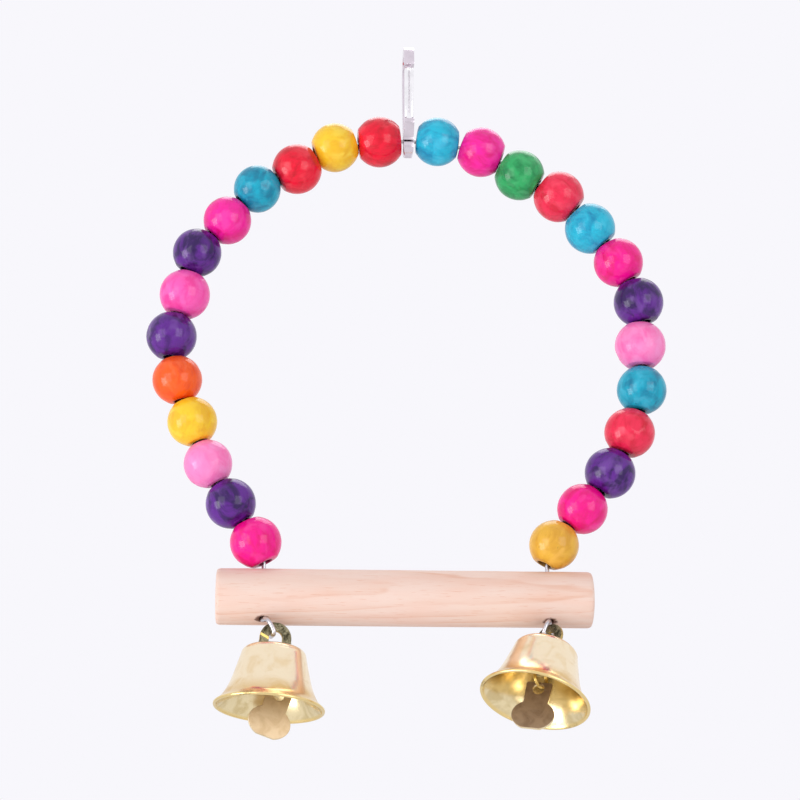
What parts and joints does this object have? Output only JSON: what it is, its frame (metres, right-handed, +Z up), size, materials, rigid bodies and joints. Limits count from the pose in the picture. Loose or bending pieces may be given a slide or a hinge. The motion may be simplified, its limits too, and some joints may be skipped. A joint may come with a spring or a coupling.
{
  "type": "bird swing",
  "caption": "Arched wire swing threaded with round wooden beads, with a round wooden perch, a bell hung under each end and a sprung snap hook at the top.",
  "frame": {"origin": "centre of the inner top bend of the snap hook, where a cage bar lies", "axes": "+Z up, +X along the perch to the viewer's right, -Y the front, the side the hook's gate faces"},
  "size_m": [0.1515, 0.0345, 0.2101],
  "materials": {
    "hook_steel": "bright nickel plate",
    "gate_steel": "bright nickel plate",
    "wire_steel": "drawn and galvanised",
    "perch_wood": "bare turned pine",
    "bell_brass": "lacquered, pale gold",
    "bail_brass": "raw, tarnished",
    "clapper_brass": "stamped, matt",
    "bead_red": "dyed and varnished",
    "bead_yellow": "dyed and varnished",
    "bead_teal": "dyed and varnished",
    "bead_sky": "dyed and varnished",
    "bead_magenta": "dyed and varnished",
    "bead_purple": "dyed and varnished",
    "bead_pink": "dyed and varnished",
    "bead_orange": "dyed and varnished",
    "bead_hot_pink": "dyed and varnished",
    "bead_green": "dyed and varnished",
    "bead_ochre": "dyed and varnished"
  },
  "bodies": {
    "hook": {"hook_body": "hook_steel", "gate_rivet": "hook_steel"},
    "gate": {"hook_gate": "gate_steel"},
    "swing": {"arch_wire": "wire_steel", "perch": "perch_wood"},
    "bell_left": {"bell_left": "bell_brass", "bail_left": "bail_brass"},
    "clapper_left": {"ring_left": "bell_brass", "clapper_left": "clapper_brass"},
    "bell_right": {"bell_right": "bell_brass", "bail_right": "bail_brass"},
    "clapper_right": {"ring_right": "bell_brass", "clapper_right": "clapper_brass"},
    "bead_left_1": {"bead_left_1": "bead_red"},
    "bead_left_2": {"bead_left_2": "bead_yellow"},
    "bead_left_3": {"bead_left_3": "bead_red"},
    "bead_left_4": {"bead_left_4": "bead_teal"},
    "bead_left_5": {"bead_left_5": "bead_magenta"},
    "bead_left_6": {"bead_left_6": "bead_purple"},
    "bead_left_7": {"bead_left_7": "bead_pink"},
    "bead_left_8": {"bead_left_8": "bead_purple"},
    "bead_left_9": {"bead_left_9": "bead_orange"},
    "bead_left_10": {"bead_left_10": "bead_yellow"},
    "bead_left_11": {"bead_left_11": "bead_pink"},
    "bead_left_12": {"bead_left_12": "bead_purple"},
    "bead_left_13": {"bead_left_13": "bead_hot_pink"},
    "bead_right_1": {"bead_right_1": "bead_sky"},
    "bead_right_2": {"bead_right_2": "bead_magenta"},
    "bead_right_3": {"bead_right_3": "bead_green"},
    "bead_right_4": {"bead_right_4": "bead_red"},
    "bead_right_5": {"bead_right_5": "bead_sky"},
    "bead_right_6": {"bead_right_6": "bead_hot_pink"},
    "bead_right_7": {"bead_right_7": "bead_purple"},
    "bead_right_8": {"bead_right_8": "bead_pink"},
    "bead_right_9": {"bead_right_9": "bead_teal"},
    "bead_right_10": {"bead_right_10": "bead_red"},
    "bead_right_11": {"bead_right_11": "bead_purple"},
    "bead_right_12": {"bead_right_12": "bead_hot_pink"},
    "bead_right_13": {"bead_right_13": "bead_ochre"}
  },
  "joints": [
    {"name": "gate_pivot", "type": "hinge", "parent": "hook", "child": "gate", "pos_m": [0, -0.0053, -0.0199], "axis": [-1, 0, 0], "range_deg": [0, 24], "stiffness_Nm_per_rad": 0.004, "springref_deg": -2.86},
    {"name": "swing_pivot", "type": "hinge", "parent": "hook", "child": "swing", "pos_m": [0, 0, -0.0238], "axis": [1, 0, 0], "range_deg": [-60, 60]},
    {"name": "bell_left_swing", "type": "hinge", "parent": "swing", "child": "bell_left", "pos_m": [-0.03781, -0.00511, -0.17482], "axis": [-0.2079, 0.9781, 0], "range_deg": [-25, 25]},
    {"name": "clapper_left_swing", "type": "hinge", "parent": "bell_left", "child": "clapper_left", "pos_m": [-0.03762, -0.00623, -0.18564], "axis": [-0.2157, 0.9709, -0.1044], "range_deg": [-29, 33]},
    {"name": "bell_right_swing", "type": "hinge", "parent": "swing", "child": "bell_right", "pos_m": [0.03868, -0.00551, -0.17422], "axis": [0.7431, 0.6691, 0], "range_deg": [-25, 20]},
    {"name": "clapper_right_swing", "type": "hinge", "parent": "bell_right", "child": "clapper_right", "pos_m": [0.03577, -0.00914, -0.18436], "axis": [0.6543, 0.6327, -0.4142], "range_deg": [-30, 34]},
    {"name": "bead_left_1_spin", "type": "hinge", "parent": "swing", "child": "bead_left_1", "pos_m": [-0.00866, 0, -0.02418], "axis": [-0.9936, 0, -0.1132], "continuous": true},
    {"name": "bead_left_2_spin", "type": "hinge", "parent": "swing", "child": "bead_left_2", "pos_m": [-0.02195, 0, -0.02631], "axis": [-0.9426, 0, -0.3338], "continuous": true},
    {"name": "bead_left_3_spin", "type": "hinge", "parent": "swing", "child": "bead_left_3", "pos_m": [-0.03326, 0, -0.0336], "axis": [-0.8572, 0, -0.515], "continuous": true},
    {"name": "bead_left_4_spin", "type": "hinge", "parent": "swing", "child": "bead_left_4", "pos_m": [-0.04491, 0, -0.04023], "axis": [-0.7604, 0, -0.6494], "continuous": true},
    {"name": "bead_left_5_spin", "type": "hinge", "parent": "swing", "child": "bead_left_5", "pos_m": [-0.05352, 0, -0.0505], "axis": [-0.6361, 0, -0.7716], "continuous": true},
    {"name": "bead_left_6_spin", "type": "hinge", "parent": "swing", "child": "bead_left_6", "pos_m": [-0.06207, 0, -0.06088], "axis": [-0.4617, 0, -0.887], "continuous": true},
    {"name": "bead_left_7_spin", "type": "hinge", "parent": "swing", "child": "bead_left_7", "pos_m": [-0.06524, 0, -0.07395], "axis": [-0.2588, 0, -0.9659], "continuous": true},
    {"name": "bead_left_8_spin", "type": "hinge", "parent": "swing", "child": "bead_left_8", "pos_m": [-0.06863, 0, -0.08688], "axis": [-0.0262, 0, -0.9997], "continuous": true},
    {"name": "bead_left_9_spin", "type": "hinge", "parent": "swing", "child": "bead_left_9", "pos_m": [-0.06654, 0, -0.10011], "axis": [0.2079, 0, -0.9781], "continuous": true},
    {"name": "bead_left_10_spin", "type": "hinge", "parent": "swing", "child": "bead_left_10", "pos_m": [-0.06187, 0, -0.11253], "axis": [0.3665, 0, -0.9304], "continuous": true},
    {"name": "bead_left_11_spin", "type": "hinge", "parent": "swing", "child": "bead_left_11", "pos_m": [-0.05704, 0, -0.12493], "axis": [0.4695, 0, -0.8829], "continuous": true},
    {"name": "bead_left_12_spin", "type": "hinge", "parent": "swing", "child": "bead_left_12", "pos_m": [-0.05025, 0, -0.13641], "axis": [0.5664, 0, -0.8241], "continuous": true},
    {"name": "bead_left_13_spin", "type": "hinge", "parent": "swing", "child": "bead_left_13", "pos_m": [-0.04298, 0, -0.14754], "axis": [0.4305, 0, -0.9026], "continuous": true},
    {"name": "bead_right_1_spin", "type": "hinge", "parent": "swing", "child": "bead_right_1", "pos_m": [0.00879, 0, -0.02368], "axis": [0.9936, 0, -0.1132], "continuous": true},
    {"name": "bead_right_2_spin", "type": "hinge", "parent": "swing", "child": "bead_right_2", "pos_m": [0.02202, 0, -0.02678], "axis": [0.9397, 0, -0.342], "continuous": true},
    {"name": "bead_right_3_spin", "type": "hinge", "parent": "swing", "child": "bead_right_3", "pos_m": [0.03345, 0, -0.034], "axis": [0.8526, 0, -0.5225], "continuous": true},
    {"name": "bead_right_4_spin", "type": "hinge", "parent": "swing", "child": "bead_right_4", "pos_m": [0.04516, 0, -0.04078], "axis": [0.766, 0, -0.6428], "continuous": true},
    {"name": "bead_right_5_spin", "type": "hinge", "parent": "swing", "child": "bead_right_5", "pos_m": [0.05427, 0, -0.05076], "axis": [0.6561, 0, -0.7547], "continuous": true},
    {"name": "bead_right_6_spin", "type": "hinge", "parent": "swing", "child": "bead_right_6", "pos_m": [0.06243, 0, -0.06146], "axis": [0.4848, 0, -0.8746], "continuous": true},
    {"name": "bead_right_7_spin", "type": "hinge", "parent": "swing", "child": "bead_right_7", "pos_m": [0.068, 0, -0.07386], "axis": [0.2334, 0, -0.9724], "continuous": true},
    {"name": "bead_right_8_spin", "type": "hinge", "parent": "swing", "child": "bead_right_8", "pos_m": [0.068, 0, -0.08742], "axis": [-0.0087, 0, -1], "continuous": true},
    {"name": "bead_right_9_spin", "type": "hinge", "parent": "swing", "child": "bead_right_9", "pos_m": [0.06792, 0, -0.10096], "axis": [-0.1908, 0, -0.9816], "continuous": true},
    {"name": "bead_right_10_spin", "type": "hinge", "parent": "swing", "child": "bead_right_10", "pos_m": [0.06393, 0, -0.11394], "axis": [-0.3665, 0, -0.9304], "continuous": true},
    {"name": "bead_right_11_spin", "type": "hinge", "parent": "swing", "child": "bead_right_11", "pos_m": [0.05784, 0, -0.12606], "axis": [-0.5225, 0, -0.8526], "continuous": true},
    {"name": "bead_right_12_spin", "type": "hinge", "parent": "swing", "child": "bead_right_12", "pos_m": [0.04958, 0, -0.13677], "axis": [-0.6361, 0, -0.7716], "continuous": true},
    {"name": "bead_right_13_spin", "type": "hinge", "parent": "swing", "child": "bead_right_13", "pos_m": [0.04119, 0, -0.14731], "axis": [-0.454, 0, -0.891], "continuous": true}
  ]
}
